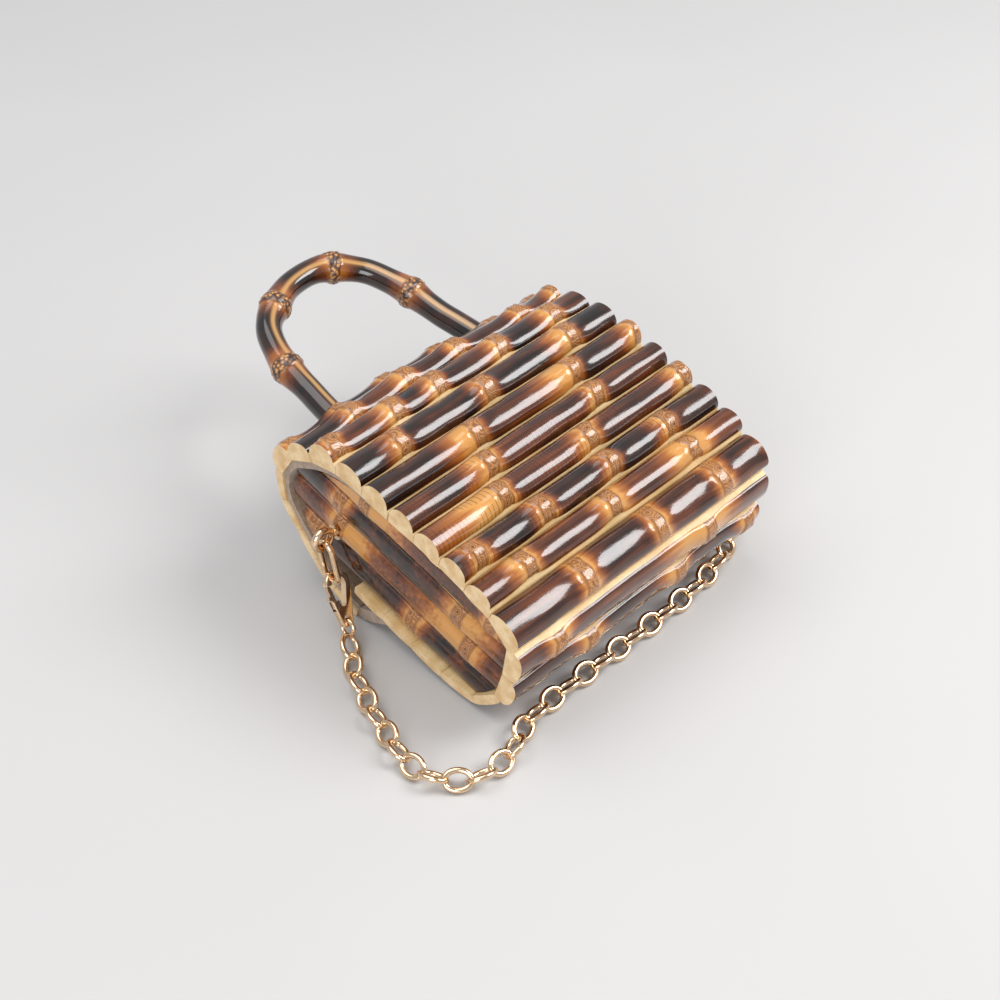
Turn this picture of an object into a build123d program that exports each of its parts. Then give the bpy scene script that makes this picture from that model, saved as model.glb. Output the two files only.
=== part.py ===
from build123d import *
import os
from math import cos, pi, radians, sin, sqrt, tan

# A box bag of split bamboo canes. It lies on its back. In the bag's own section, "height" runs
# from the base to the top of the lid and "depth" runs from the back wall to the front.

# ---- driving dimensions, in millimetres and degrees ----
bag_width = 170.0
rest_tilt = 12.5  # the bag's height axis rises by this much above the floor when it lies down
heel_y = -105.58  # where the sharp corner of base and back would be, in the part's frame
heel_z = 0.99

seam_height = 81.0  # top of the front wall, where the lid begins
seam_gap = 0.8
back_rise = 13.0  # the back wall ends this far above the seam
front_depth = 66.3
belly_height = 45.0
belly_depth = 69.0
belly_radius = 200.0
toe_depth = 63.0
toe_radius = 14.0
heel_radius = 27.0

lid_rise = 71.0  # from the seam to the inside of the lid's top
lid_shoulder = 28.0  # how far below the top the lid's front starts to lean back
lid_bulge = 16.0  # how far the lid's back stands out behind the body's back wall
hinge_rise = 9.0  # the lid's hinged edge above the seam

cane_count = 5
body_cane_pitch = 16.6
lid_cane_pitch = 17.4
base_cane_pitch = 18.5
slat_count = 5
cane_side = 5.0
cane_crown = 13.6
base_crown = 11.5
slat_side = 4.0
slat_crown = 5.2
cane_joint = 0.2  # gap between neighbouring canes

board_thickness = 4.0
end_cane_count = 4
end_cane_height = 7.0
end_cane_side = 2.5
end_recess = 1.5  # the crest of the end canes lies this far inside the ends of the shell canes
end_clearance = 0.3
lining = 2.0
lid_lining = 4.0
lid_lining_recess = 1.0

handle_radius = 6.6
handle_depth = 37.0
handle_seat = 0.4  # the handle's feet above the lid's lining
socket_clearance = 0.15

magnet_radius = 2.0
magnet_length = 3.0
magnet_clearance = 0.05
magnet_spread = 55.0

eye_height = 112.0
eye_wire = 1.9
eye_ring = 5.0
shank_radius = 1.75
shank_clearance = 0.05
collar_radius = 4.2
collar_thickness = 1.6
neck_length = 2.2
shank_bite = 2.0

link_wire = 1.5
link_half_width = 5.0
link_length = 23.5
link_lean = 12.0

clasp_thickness = 3.6
clasp_head = 7.6
clasp_throat = 4.3
clasp_tail = 3.9
tail_hole = 2.2
clasp_length = 17.0
clasp_edge = 1.0
clasp_sideways = 0.24
clasp_forward = 0.60
gate_thickness = 1.8
gate_clearance = 0.35
gate_pivot = (10.2, 3.7)
gate_tip = (0.3, 5.7)
gate_thumb = (5.2, 6.2)
gate_wire = 1.0
gate_knuckle = 1.2
hook_end = -1.0
cheek_start = 6.9
slot_floor = 0.9
gate_pin_radius = 0.5
gate_pin_length = 3.4
pin_clearance = 0.05

ring_wire = 1.1
ring_radius = 4.0
hanging_gap = 0.2
clasp_slack = 1.3  # between the oval link and the head of the clasp
chain_diameter = 8.0
chain_leave = (0.50, -0.78, -0.37)  # the way that the chain leaves its end rings
chain_gap = 0.03

screw_shank = 1.5
screw_bite = 12.0
screw_head = 3.2
screw_head_height = 1.6
screw_cover = 2.6  # fleece left between a screw's head and the handle's foot
screw_clearance = 0.05

# The chain's way on the floor between its end rings, from the left round the front to the right.
chain_floor = [
    (-109.5, -37.0),
    (-119.5, -59.0),
    (-127.5, -84.0),
    (-133.0, -107.0),
    (-120.8, -127.6),
    (-98.2, -133.0),
    (-78.5, -122.0),
    (-55.5, -118.8),
    (-33.5, -120.0),
    (-11.0, -120.6),
    (12.0, -120.4),
    (34.0, -119.4),
    (55.0, -117.0),
    (78.5, -110.4),
    (100.0, -96.4),
    (114.0, -78.0),
    (117.0, -56.0),
    (110.5, -37.0),
]

# ---- frame of the bag's section: local x is height, local y is depth, normal is +X ----
section = Plane(
    origin=(0, heel_y, heel_z),
    x_dir=(0, cos(radians(rest_tilt)), sin(radians(rest_tilt))),
    z_dir=(1, 0, 0),
)
upward = section.x_dir
frontward = section.y_dir

half_width = bag_width / 2
lid_top = seam_height + lid_rise
back_height = seam_height + back_rise
hinge_height = seam_height + hinge_rise
board_face = half_width - end_recess - end_cane_height
board_inside = board_face - board_thickness


def feet_along(line, marks):
    """Points where canes meet, at the given distances along a shell line."""
    return [line.position_at(mark, position_mode=PositionMode.LENGTH) for mark in marks]


def normals_along(line, marks, quarter_turn):
    """Outward directions of a shell line at the given distances."""
    tangents = [line.tangent_at(mark, position_mode=PositionMode.LENGTH) for mark in marks]
    return [tangent.rotate(Axis.Z, quarter_turn) for tangent in tangents]


def draw_bar(feet, normals, side, crown):
    """Section of one cane: a flat foot, two planed sides and a round crown."""
    along = (feet[1] - feet[0]).normalized()
    left = feet[0] + along * (cane_joint / 2)
    right = feet[1] - along * (cane_joint / 2)
    left_shoulder = left + normals[0] * side
    right_shoulder = right + normals[1] * side
    middle_normal = (normals[0] + normals[1]).normalized()
    crest = (left + right) * 0.5 + middle_normal * crown
    Polyline(left_shoulder, left, right, right_shoulder)
    ThreePointArc(right_shoulder, crest, left_shoulder)


def save(builder, name):
    """Labels a finished piece and writes its file."""
    builder.part.label = name
    export_step(builder.part, f"parts/{name}.step")


os.makedirs("parts", exist_ok=True)

# ---- shell lines: the inner faces of the canes ----
with BuildLine() as body_shell:
    FilletPolyline(
        (seam_height, front_depth),
        (belly_height, belly_depth),
        (0, toe_depth),
        (0, 0),
        (back_height, 0),
        radius=[belly_radius, toe_radius, heel_radius],
    )

with BuildLine() as lid_shell:
    FilletPolyline(
        (seam_height + seam_gap, front_depth),
        (lid_top - lid_shoulder, front_depth - 0.8),
        (lid_top, 40),
        (lid_top - 2, 16),
        (hinge_height + 18, -lid_bulge),
        (hinge_height, -lid_bulge),
        radius=[50, 22, 22, 30],
    )

body_line = body_shell.wires()[0]
lid_line = lid_shell.wires()[0]

cane_end = cane_count * body_cane_pitch
base_end = cane_end + 2 * base_cane_pitch
back_pitch = (body_line.length - base_end) / slat_count
body_marks = [number * body_cane_pitch for number in range(cane_count + 1)]
body_marks += [cane_end + base_cane_pitch, base_end]
body_marks += [base_end + back_pitch * (number + 1) for number in range(slat_count)]
body_feet = feet_along(body_line, body_marks)
body_normals = normals_along(body_line, body_marks, -90)

lid_cane_end = cane_count * lid_cane_pitch
lid_slat_pitch = (lid_line.length - lid_cane_end) / slat_count
lid_marks = [number * lid_cane_pitch for number in range(cane_count + 1)]
lid_marks += [lid_cane_end + lid_slat_pitch * (number + 1) for number in range(slat_count)]
lid_feet = feet_along(lid_line, lid_marks)
lid_normals = normals_along(lid_line, lid_marks, 90)

# ---- magnets that hold the lid shut, let into the canes on both sides of the front seam ----
magnet_depth = front_depth + cane_side / 2
magnet_seats = [(-magnet_spread, magnet_depth), (magnet_spread, magnet_depth)]


def seam_plane(height):
    """Plane square to the height axis: local x is width and local y is depth."""
    return Plane(origin=section.from_local_coords((height, 0, 0)), x_dir=(1, 0, 0), z_dir=-upward)


with BuildPart() as magnets_body:
    with BuildSketch(seam_plane(seam_height)):
        with Locations(*[(x, depth) for x, depth in magnet_seats]):
            Circle(magnet_radius)
    extrude(amount=magnet_length)
save(magnets_body, "magnets_body")

with BuildPart() as magnets_lid:
    with BuildSketch(seam_plane(seam_height + seam_gap)):
        with Locations(*[(x, depth) for x, depth in magnet_seats]):
            Circle(magnet_radius)
    extrude(amount=-magnet_length)
save(magnets_lid, "magnets_lid")

# ---- handle: a bent root cane whose feet sit in sockets in the lid's crown cane ----
handle_plane = Plane(
    origin=section.from_local_coords((0, handle_depth, 0)), x_dir=(1, 0, 0), z_dir=frontward
)
handle_foot = lid_top + handle_seat
handle_points = [
    (-46, handle_foot),
    (-45, handle_foot + 50),
    (-31, handle_foot + 78),
    (1, handle_foot + 90),
    (30, handle_foot + 78),
    (42, handle_foot + 46),
    (50, handle_foot),
]
handle_radii = [60, 34, 40, 34, 70]


def socket_plane(point, following):
    """Plane at a foot of the handle, square to the leg that rises from it."""
    foot = handle_plane.from_local_coords(point)
    return Plane(origin=foot, z_dir=handle_plane.from_local_coords(following) - foot)


socket_planes = [
    socket_plane(handle_points[0], handle_points[1]),
    socket_plane(handle_points[-1], handle_points[-2]),
]

with BuildPart() as handle:
    with BuildLine(handle_plane) as handle_path:
        FilletPolyline(*handle_points, radius=handle_radii)
    with BuildSketch(socket_planes[0]):
        Circle(handle_radius)
    sweep()
    for plane in socket_planes:
        with BuildSketch(plane):
            Circle(screw_shank + screw_clearance)
        extrude(amount=screw_bite + screw_clearance, mode=Mode.SUBTRACT)
save(handle, "handle")

screw_seat = -(handle_seat + screw_cover)
with BuildPart() as handle_screws:
    for plane in socket_planes:
        with BuildSketch(plane.offset(screw_seat - screw_head_height)):
            Circle(screw_head)
        extrude(amount=screw_head_height)
        with BuildSketch(plane.offset(screw_seat)):
            Circle(screw_shank)
        extrude(amount=screw_bite - screw_seat)
save(handle_screws, "handle_screws")

# ---- shell canes and slats of the body ----
body_names = [f"front_cane_{number + 1}" for number in range(cane_count)]
body_names += ["base_cane_1", "base_cane_2"]
body_names += [f"back_slat_{number + 1}" for number in range(slat_count)]

for number, name in enumerate(body_names):
    side, crown = cane_side, cane_crown
    if name.startswith("base"):
        crown = base_crown
    if name.startswith("back"):
        side, crown = slat_side, slat_crown
    with BuildPart() as body_cane:
        with BuildSketch(section):
            with BuildLine():
                draw_bar(body_feet[number : number + 2], body_normals[number : number + 2], side, crown)
            make_face()
        extrude(amount=half_width, both=True)
        if number == 0:
            with BuildSketch(seam_plane(seam_height)):
                with Locations(*magnet_seats):
                    Circle(magnet_radius + magnet_clearance)
            extrude(amount=magnet_length + magnet_clearance, mode=Mode.SUBTRACT)
    save(body_cane, name)

# ---- shell canes and slats of the lid ----
lid_names = [f"lid_cane_{number + 1}" for number in range(cane_count)]
lid_names += [f"lid_slat_{number + 1}" for number in range(slat_count)]

for number, name in enumerate(lid_names):
    side, crown = cane_side, cane_crown
    if name.startswith("lid_slat"):
        side, crown = slat_side, slat_crown
    with BuildPart() as lid_cane:
        with BuildSketch(section):
            with BuildLine():
                draw_bar(lid_feet[number : number + 2], lid_normals[number : number + 2], side, crown)
            make_face()
        extrude(amount=half_width, both=True)
        if number == 0:
            with BuildSketch(seam_plane(seam_height + seam_gap)):
                with Locations(*magnet_seats):
                    Circle(magnet_radius + magnet_clearance)
            extrude(amount=-magnet_length - magnet_clearance, mode=Mode.SUBTRACT)
        if number == cane_count - 1 or number == cane_count:
            for plane in socket_planes:
                with BuildSketch(plane):
                    Circle(handle_radius + socket_clearance)
                extrude(amount=2 * cane_crown, both=True, mode=Mode.SUBTRACT)
    save(lid_cane, name)

# ---- linings ----
with BuildPart() as lid_fleece:
    with BuildSketch(section):
        with BuildLine():
            Polyline(*lid_feet)
            FilletPolyline(
                (seam_height + seam_gap, front_depth - 1.5),
                (lid_top - lid_shoulder - 2.6, front_depth - 0.8 - lid_lining),
                (lid_top - lid_lining - 0.7, 38),
                (lid_top - lid_lining - 1.8, 18),
                (hinge_height + 17.5, lid_lining - lid_bulge),
                (hinge_height, lid_lining - lid_bulge),
                radius=[50, 20, 20, 26],
            )
            Line((seam_height + seam_gap, front_depth), (seam_height + seam_gap, front_depth - 1.5))
            Line((hinge_height, -lid_bulge), (hinge_height, lid_lining - lid_bulge))
        make_face()
    extrude(amount=half_width - lid_lining_recess, both=True)
    for plane in socket_planes:
        with BuildSketch(plane):
            Circle(screw_shank + screw_clearance)
        extrude(amount=-2 * lid_lining, mode=Mode.SUBTRACT)
        with BuildSketch(plane.offset(screw_seat)):
            Circle(screw_head + screw_clearance)
        extrude(amount=-2 * lid_lining, mode=Mode.SUBTRACT)
save(lid_fleece, "lid_fleece")

with BuildPart() as body_fleece:
    with BuildSketch(section):
        with BuildLine():
            Polyline(*body_feet, close=True)
        make_face()
    extrude(amount=board_inside, both=True)
    mouth = body_fleece.faces().sort_by(Axis((0, 0, 0), upward))[-1]
    offset(amount=-lining, openings=mouth, kind=Kind.INTERSECTION)
save(body_fleece, "body_fleece")

# ---- cloth that carries the lid's hinged edge on the back wall ----
back_face = -slat_crown - 0.15
cloth_foot = hinge_height - 20.0
with BuildPart() as hinge_cloth:
    with BuildSketch(section):
        with BuildLine():
            ThreePointArc(
                (cloth_foot, back_face),
                (hinge_height - 11.5, back_face - 8.2),
                (hinge_height - 0.3, -lid_bulge - slat_crown + 0.3),
            )
            Line(
                (hinge_height - 0.3, -lid_bulge - slat_crown + 0.3),
                (hinge_height - 0.3, lid_lining - lid_bulge - 1.0),
            )
            ThreePointArc(
                (hinge_height - 0.3, lid_lining - lid_bulge - 1.0),
                (hinge_height - 7.0, back_face - 3.0),
                (hinge_height - 10.0, back_face),
            )
            Line((hinge_height - 10.0, back_face), (cloth_foot, back_face))
        make_face()
    extrude(amount=half_width - lid_lining_recess, both=True)
save(hinge_cloth, "hinge_cloth")

# ---- end boards and the canes that face them ----
with BuildSketch() as board_outline:
    with BuildLine():
        Polyline(*body_feet)
        FilletPolyline(
            (seam_height, front_depth - 2.3),
            (lid_top - lid_shoulder - 5, front_depth - 7.1),
            (lid_top - lid_lining - 3, 40),
            (lid_top - lid_lining - 2.5, 21),
            (seam_height + 40, 1.2),
            (back_height, 0),
            radius=[50, 14, 14, 20],
        )
        Line((seam_height, front_depth), (seam_height, front_depth - 2.3))
    make_face()

with BuildSketch() as cane_outline:
    add(board_outline.sketch)
    offset(amount=-end_clearance, kind=Kind.INTERSECTION)

end_pitch = front_depth / end_cane_count
eye_depth = end_pitch * 1.5

for side_name, way in (("left", -1), ("right", 1)):
    board_plane = section.offset(way * board_inside)
    face_plane = section.offset(way * board_face)
    crest_plane = section.offset(way * (board_face + end_cane_height))

    with BuildPart() as end_board:
        with BuildSketch(board_plane):
            add(board_outline.sketch)
        extrude(amount=way * board_thickness)
        with BuildSketch(face_plane):
            with Locations((eye_height, eye_depth)):
                Circle(shank_radius + shank_clearance)
        extrude(amount=-way * (shank_bite + shank_clearance), mode=Mode.SUBTRACT)
    save(end_board, f"end_board_{side_name}")

    for number in range(end_cane_count):
        low = number * end_pitch + cane_joint / 2
        high = (number + 1) * end_pitch - cane_joint / 2
        if number == 0:
            low = -end_pitch / 2
        if number == end_cane_count - 1:
            high = belly_depth + end_pitch / 2
        foot = way * board_face
        shoulder = way * (board_face + end_cane_side)
        crest = way * (board_face + end_cane_height)
        with BuildPart() as end_cane:
            with BuildSketch(seam_plane(-1)):
                with BuildLine():
                    Polyline((shoulder, low), (foot, low), (foot, high), (shoulder, high))
                    ThreePointArc((shoulder, high), (crest, (low + high) / 2), (shoulder, low))
                make_face()
            extrude(amount=-lid_top)
            with BuildSketch(face_plane):
                add(cane_outline.sketch)
            extrude(amount=way * end_cane_height, mode=Mode.INTERSECT)
            with BuildSketch(crest_plane):
                with Locations((eye_height, eye_depth)):
                    Circle(shank_radius + shank_clearance)
            extrude(amount=-way * end_cane_height, mode=Mode.SUBTRACT)
        save(end_cane, f"end_cane_{side_name}_{number + 1}")

# ---- hardware of the chain, the same at both ends ----
eye_face = board_face + end_cane_height
ring_offset = eye_face + collar_thickness + neck_length + eye_ring
eye_centre = section.from_local_coords((eye_height, eye_depth, 0))
link_top = Vector(0, eye_centre.Y, eye_centre.Z - eye_ring + eye_wire + link_wire + hanging_gap)
link_down = Vector(0, -sin(radians(link_lean)), -cos(radians(link_lean)))
link_bottom = link_top + link_down * link_length
clasp_fall = sqrt(1 - clasp_sideways**2 - clasp_forward**2)
chain_ends = []

for side_name, way in (("left", -1), ("right", 1)):
    ring_x = way * ring_offset

    with BuildPart() as screw_eye:
        with BuildSketch(Plane.YZ.offset(way * (board_face - shank_bite))):
            with Locations((eye_centre.Y, eye_centre.Z)):
                Circle(shank_radius)
        extrude(amount=way * (end_cane_height + shank_bite))
        with BuildSketch(Plane.YZ.offset(way * eye_face)):
            with Locations((eye_centre.Y, eye_centre.Z)):
                Circle(collar_radius)
        extrude(amount=way * collar_thickness)
        with BuildSketch(Plane.YZ.offset(way * (eye_face + collar_thickness))):
            with Locations((eye_centre.Y, eye_centre.Z)):
                Circle(shank_radius)
        extrude(amount=way * neck_length)
        ring_place = (ring_x, eye_centre.Y, eye_centre.Z)
        with Locations(Plane(origin=ring_place, x_dir=(0, 0, 1), z_dir=(0, 1, 0))):
            Torus(eye_ring, eye_wire)
    save(screw_eye, f"screw_eye_{side_name}")

    link_plane = Plane(
        origin=(ring_x, link_top.Y, link_top.Z), x_dir=-link_down, z_dir=(1, 0, 0)
    )
    with BuildPart() as oval_link:
        with BuildLine(link_plane) as link_path:
            straight = link_length - 2 * link_half_width
            Line((-link_half_width, link_half_width), (-link_half_width - straight, link_half_width))
            CenterArc((-link_half_width - straight, 0), link_half_width, 90, 180)
            Line((-link_half_width - straight, -link_half_width), (-link_half_width, -link_half_width))
            CenterArc((-link_half_width, 0), link_half_width, 270, 180)
        with BuildSketch(Plane(origin=link_path.wires()[0] @ 0, z_dir=link_path.wires()[0] % 0)):
            Circle(link_wire)
        sweep()
    save(oval_link, f"oval_link_{side_name}")

    # local x of the clasp runs down from its head to its tail, and local y to its gate
    clasp_down = Vector(way * clasp_sideways, -clasp_forward, -clasp_fall)
    clasp_across = Vector(0, -way, 0).cross(clasp_down).normalized()
    pull = Vector(0, clasp_down.Y, clasp_down.Z).normalized()
    bend_centre = link_bottom - link_down * link_half_width + Vector(ring_x, 0, 0)
    head_centre = (
        bend_centre
        + pull * link_half_width
        + clasp_down * (clasp_throat - link_wire - clasp_slack)
    )
    clasp_plane = Plane(
        origin=head_centre, x_dir=clasp_down, z_dir=clasp_down.cross(clasp_across)
    )
    with BuildPart() as clasp:
        with BuildSketch(clasp_plane):
            Circle(clasp_head)
            with Locations((clasp_length, 0)):
                Circle(clasp_tail)
            make_hull()
        extrude(amount=clasp_thickness / 2, both=True)
        fillet(clasp.edges().filter_by(GeomType.CIRCLE), radius=clasp_edge)
        with BuildSketch(clasp_plane):
            Circle(clasp_throat)
            with Locations((clasp_length - clasp_tail - clasp_throat, 0)):
                Circle(clasp_throat * 0.4)
            make_hull()
            with Locations((clasp_length, 0)):
                Circle(tail_hole)
        extrude(amount=clasp_thickness, both=True, mode=Mode.SUBTRACT)
        with BuildSketch(clasp_plane.offset(-clasp_thickness)):
            with Locations((hook_end, slot_floor)):
                Rectangle(cheek_start - hook_end, clasp_head, align=(Align.MIN, Align.MIN))
        extrude(amount=2 * clasp_thickness, mode=Mode.SUBTRACT)
        with BuildSketch(clasp_plane):
            with Locations((hook_end, slot_floor)):
                Rectangle(
                    gate_pivot[0] + gate_knuckle + gate_clearance - hook_end,
                    clasp_head,
                    align=(Align.MIN, Align.MIN),
                )
        extrude(amount=gate_thickness / 2 + gate_clearance, both=True, mode=Mode.SUBTRACT)
        with BuildSketch(clasp_plane):
            with Locations(gate_pivot):
                Circle(gate_pin_radius + pin_clearance)
        extrude(amount=clasp_thickness, both=True, mode=Mode.SUBTRACT)
    save(clasp, f"clasp_{side_name}")

    with BuildPart() as gate:
        with BuildSketch(clasp_plane):
            with Locations(gate_pivot):
                Circle(gate_knuckle)
            with Locations(gate_tip):
                Circle(gate_wire)
            make_hull()
            with BuildSketch(mode=Mode.PRIVATE) as thumb:
                with Locations(gate_thumb, (gate_thumb[0], gate_pivot[1] + gate_wire)):
                    Circle(gate_wire)
                make_hull()
            add(thumb.sketch)
            with Locations(gate_pivot):
                Circle(gate_pin_radius + pin_clearance, mode=Mode.SUBTRACT)
        extrude(amount=gate_thickness / 2, both=True)
    save(gate, f"gate_{side_name}")

    with BuildPart() as gate_pin:
        with BuildSketch(clasp_plane):
            with Locations(gate_pivot):
                Circle(gate_pin_radius)
        extrude(amount=gate_pin_length / 2, both=True)
    save(gate_pin, f"gate_pin_{side_name}")

    pivot = clasp_plane.from_local_coords((gate_pivot[0], gate_pivot[1], 0))
    print(f"gate_{side_name} pivot {tuple(pivot)} axis {tuple(clasp_plane.z_dir)}")

    ring_reach = sqrt((ring_radius - ring_wire - hanging_gap) ** 2 - (clasp_thickness / 2) ** 2)
    ring_centre = head_centre + clasp_down * (clasp_length + tail_hole + ring_reach)
    with BuildPart() as end_ring:
        with Locations(Plane(origin=ring_centre, z_dir=clasp_across)):
            Torus(ring_radius, ring_wire)
    save(end_ring, f"end_ring_{side_name}")

    leave = Vector(way * chain_leave[0], chain_leave[1], chain_leave[2]).normalized()
    in_ring = leave - clasp_across * leave.dot(clasp_across)
    reach = ring_radius * in_ring.length + ring_wire + chain_gap
    chain_ends.append(ring_centre + leave * reach)

# ---- chain: one tube of the chain's outer size, from ring to ring ----
chain_points = [chain_ends[0]]
chain_points += [Vector(x, y, chain_diameter / 2) for x, y in chain_floor]
chain_points += [chain_ends[1]]
chain_runs = [following - point for point, following in zip(chain_points, chain_points[1:])]
chain_radii = []
for run, next_run in zip(chain_runs, chain_runs[1:]):
    turn = radians(run.get_angle(next_run))
    chain_radii.append(0.45 * min(run.length, next_run.length) / tan(turn / 2))

with BuildPart() as chain:
    with BuildLine() as chain_path:
        FilletPolyline(*chain_points, radius=chain_radii)
    with BuildSketch(Plane(origin=chain_points[0], z_dir=chain_runs[0])):
        Circle(chain_diameter / 2)
    sweep()
save(chain, "chain")

chain_length = chain_path.wires()[0].length
print("chain points", [tuple(round(value, 2) for value in point) for point in chain_points])
print("chain runs", [round(run.length, 1) for run in chain_runs])
print("chain radii", [round(radius, 1) for radius in chain_radii])
print("chain length", round(chain_length, 1))
print("chain volume", round(chain.part.volume), "of", round(chain_length * pi * chain_diameter**2 / 4))
print("hinge", tuple(section.from_local_coords((hinge_height - 0.15, -lid_bulge - slat_crown + 0.3, 0))))
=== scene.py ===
import math
import random

import bmesh
import bpy
from mathutils import Matrix, Vector, noise
from mathutils.geometry import convex_hull_2d


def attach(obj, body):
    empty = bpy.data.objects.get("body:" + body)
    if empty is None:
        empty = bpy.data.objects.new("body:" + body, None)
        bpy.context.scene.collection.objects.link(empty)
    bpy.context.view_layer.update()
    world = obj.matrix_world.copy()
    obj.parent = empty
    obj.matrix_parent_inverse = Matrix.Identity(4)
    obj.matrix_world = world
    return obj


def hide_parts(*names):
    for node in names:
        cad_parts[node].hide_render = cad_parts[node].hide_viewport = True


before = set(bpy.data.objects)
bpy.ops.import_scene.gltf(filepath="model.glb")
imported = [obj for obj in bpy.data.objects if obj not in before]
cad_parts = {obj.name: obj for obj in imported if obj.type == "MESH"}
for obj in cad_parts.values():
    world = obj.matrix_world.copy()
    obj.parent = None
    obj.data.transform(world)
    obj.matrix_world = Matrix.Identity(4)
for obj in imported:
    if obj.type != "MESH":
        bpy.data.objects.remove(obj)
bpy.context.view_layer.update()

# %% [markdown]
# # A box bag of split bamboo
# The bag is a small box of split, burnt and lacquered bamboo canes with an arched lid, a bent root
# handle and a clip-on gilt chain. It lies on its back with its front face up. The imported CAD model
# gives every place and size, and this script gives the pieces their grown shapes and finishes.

MM = 0.001
REST_TILT = math.radians(12.5)
HEEL = Vector((0.0, -105.58, 0.99))

# %% [markdown]
# The bag has its own directions, which lean back with it: across (along the canes), height (from the
# base to the lid) and depth (from the back to the front). One function turns such a place into metres.


# %% Places in the bag's own directions
UPWARD = Vector((0, math.cos(REST_TILT), math.sin(REST_TILT)))
FRONTWARD = Vector((0, -math.sin(REST_TILT), math.cos(REST_TILT)))


def bag_point(across, height, depth):
    """A place given in the bag's own millimetres, as a vector in metres."""
    return (HEEL + Vector((across, 0, 0)) + UPWARD * height + FRONTWARD * depth) * MM


def smooth_fall(distance, reach):
    """1 at distance 0, easing to 0 at reach."""
    share = min(max(1 - abs(distance) / reach, 0), 1)
    return share * share * (3 - 2 * share)


# %% [markdown]
# Every grown piece starts as a flat grid of faces. Each vertex knows how far it lies along the piece
# and round it, and a function bends it to its place. The grid's seam is merged and its open ends are
# filled, so the piece is closed. Numbers that the finishes need later, such as how near a vertex lies
# to a growth node, are kept on the vertices.

# %% Bend a grid into a closed piece
LAYERS = ("glow", "band", "side", "along", "around")


def bent_grid(name, rows, columns, place, sharp=math.radians(40), cap=True):
    """Bends a grid by place(along, around) -> (point, numbers) and closes it."""
    shape = bmesh.new()
    layers = {title: shape.verts.layers.float.new(title) for title in LAYERS}
    bmesh.ops.create_grid(shape, x_segments=rows, y_segments=columns, size=1)
    for vertex in shape.verts:
        along, around = (vertex.co.x + 1) / 2, (vertex.co.y + 1) / 2
        vertex.co, numbers = place(along, around)
        for title, value in numbers.items():
            vertex[layers[title]] = value
    bmesh.ops.remove_doubles(shape, verts=shape.verts, dist=2e-6)
    if cap:
        rims = [edge for edge in shape.edges if edge.is_boundary]
        bmesh.ops.holes_fill(shape, edges=rims, sides=0)
    bmesh.ops.recalc_face_normals(shape, faces=shape.faces)
    for face in shape.faces:
        face.smooth = True
    for edge in shape.edges:
        if len(edge.link_faces) == 2 and edge.calc_face_angle(0) > sharp:
            edge.smooth = False
    return finished(name, shape)


def finished(name, shape):
    """Turns a bmesh into an object at the origin."""
    mesh = bpy.data.meshes.new(name)
    shape.to_mesh(mesh)
    shape.free()
    piece = bpy.data.objects.new(name, mesh)
    bpy.context.scene.collection.objects.link(piece)
    return piece


def outline_of(node, axis, place, tolerance=0.02):
    """The loop of a CAD node's corners that lie in one plane square to X, in order."""
    corners = {
        (round(vertex.co.y / MM, 3), round(vertex.co.z / MM, 3))
        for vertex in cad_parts[node].data.vertices
        if abs(vertex.co[axis] / MM - place) < tolerance
    }
    middle = Vector((sum(c[0] for c in corners), sum(c[1] for c in corners))) / len(corners)
    return sorted(
        (Vector(corner) for corner in corners),
        key=lambda corner: math.atan2(corner.y - middle.y, corner.x - middle.x),
    )


# %% [markdown]
# ## The canes of the shell
# Each cane is half of a split bamboo, planed on both sides so that it fits its neighbours, with the
# bark outside. The plain section comes from the CAD node: a flat foot, two planed sides and a round
# crown. Along the cane the crown swells at each growth node and thins between them, and a swollen
# node shows more of its planed side, which gives the pale wavy lines between the canes.

# %% Section of a cane
HALF_WIDTH = 85.0


def section_of(node):
    """Foot corners, shoulders' directions, outward normal and crown height of a cane, in millimetres."""
    loop = outline_of(node, 0, HALF_WIDTH)
    sides = [(loop[number] - loop[number - 1]).length for number in range(len(loop))]
    last = max(range(len(loop)), key=lambda number: sides[number])
    first_foot, second_foot = loop[last - 1], loop[last]
    first_shoulder, second_shoulder = loop[last - 2], loop[(last + 1) % len(loop)]
    if first_foot.x > second_foot.x:
        first_foot, second_foot = second_foot, first_foot
        first_shoulder, second_shoulder = second_shoulder, first_shoulder
    foot_line = (second_foot - first_foot).normalized()
    outward = Vector((-foot_line.y, foot_line.x))
    middle = (first_foot + second_foot) / 2
    if sum((corner - middle).dot(outward) for corner in loop) < 0:
        outward = -outward
    crown = max((corner - middle).dot(outward) for corner in loop)
    return {
        "feet": (first_foot, second_foot),
        "rises": (
            (first_shoulder - first_foot).normalized(),
            (second_shoulder - second_foot).normalized(),
        ),
        "outward": outward,
        "crown": crown,
    }


print("front_cane_3 crown", round(section_of("front_cane_3")["crown"], 2), "mm")

# %% [markdown]
# A growth node is a low ridge with a groove beside it, on a broad swelling. The lacquer is scorched
# black between the nodes and stays amber near them, further on one side than on the other. The table
# lists each cane's nodes: the place along the cane and how far the amber reaches to the left and to
# the right, all in millimetres.

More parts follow.
